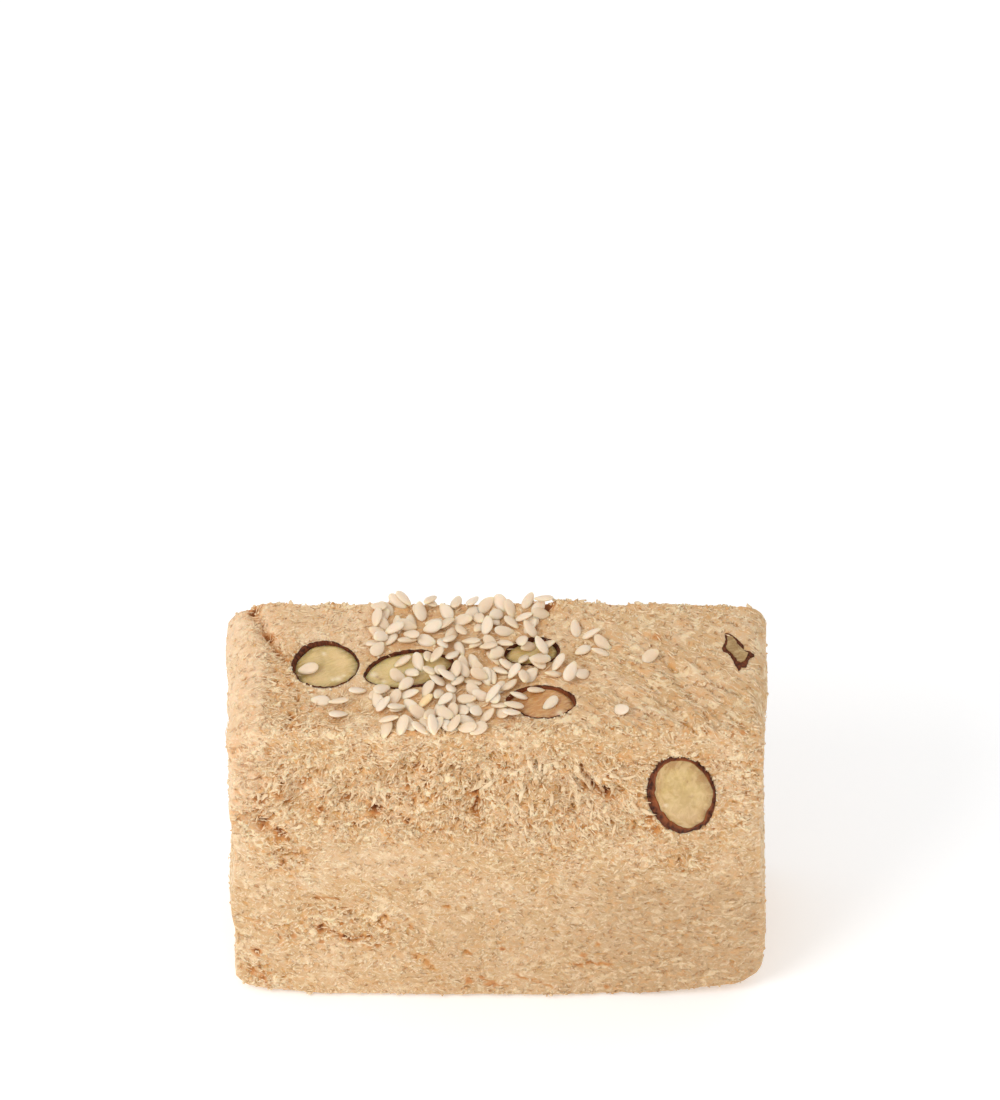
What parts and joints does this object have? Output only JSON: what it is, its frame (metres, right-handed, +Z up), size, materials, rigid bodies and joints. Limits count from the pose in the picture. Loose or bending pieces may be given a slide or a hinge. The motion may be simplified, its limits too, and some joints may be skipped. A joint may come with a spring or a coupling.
{
  "type": "sesame halva slice",
  "caption": "Slice of a sesame halva loaf standing on its base, with a crumbly torn cut face, cut almonds set in it and a patch of hulled sesame seeds across its top.",
  "frame": {"origin": "centre of the bounding box on the surface that the slice stands on", "axes": "+X along the cut faces from the loaf's left side to its right, +Y from the front cut face to the back one, +Z up to the seeded top"},
  "size_m": [0.0848, 0.0312, 0.0622],
  "materials": {
    "halva": "dull, crumbly and fibrous, faintly oily",
    "sesame": "smooth and waxy",
    "almond": "satin cut kernel",
    "almond_skin": "dry wrinkled brown skin"
  },
  "bodies": {
    "root": {"halva": "halva", "almond_left": "almond", "almond_middle": "almond", "almond_under_seeds": "almond", "almond_top_front": "almond", "almond_front": "almond", "almond_back_broad": "almond", "almond_back_slim": "almond", "almond_chip": "almond"}
  },
  "joints": []
}
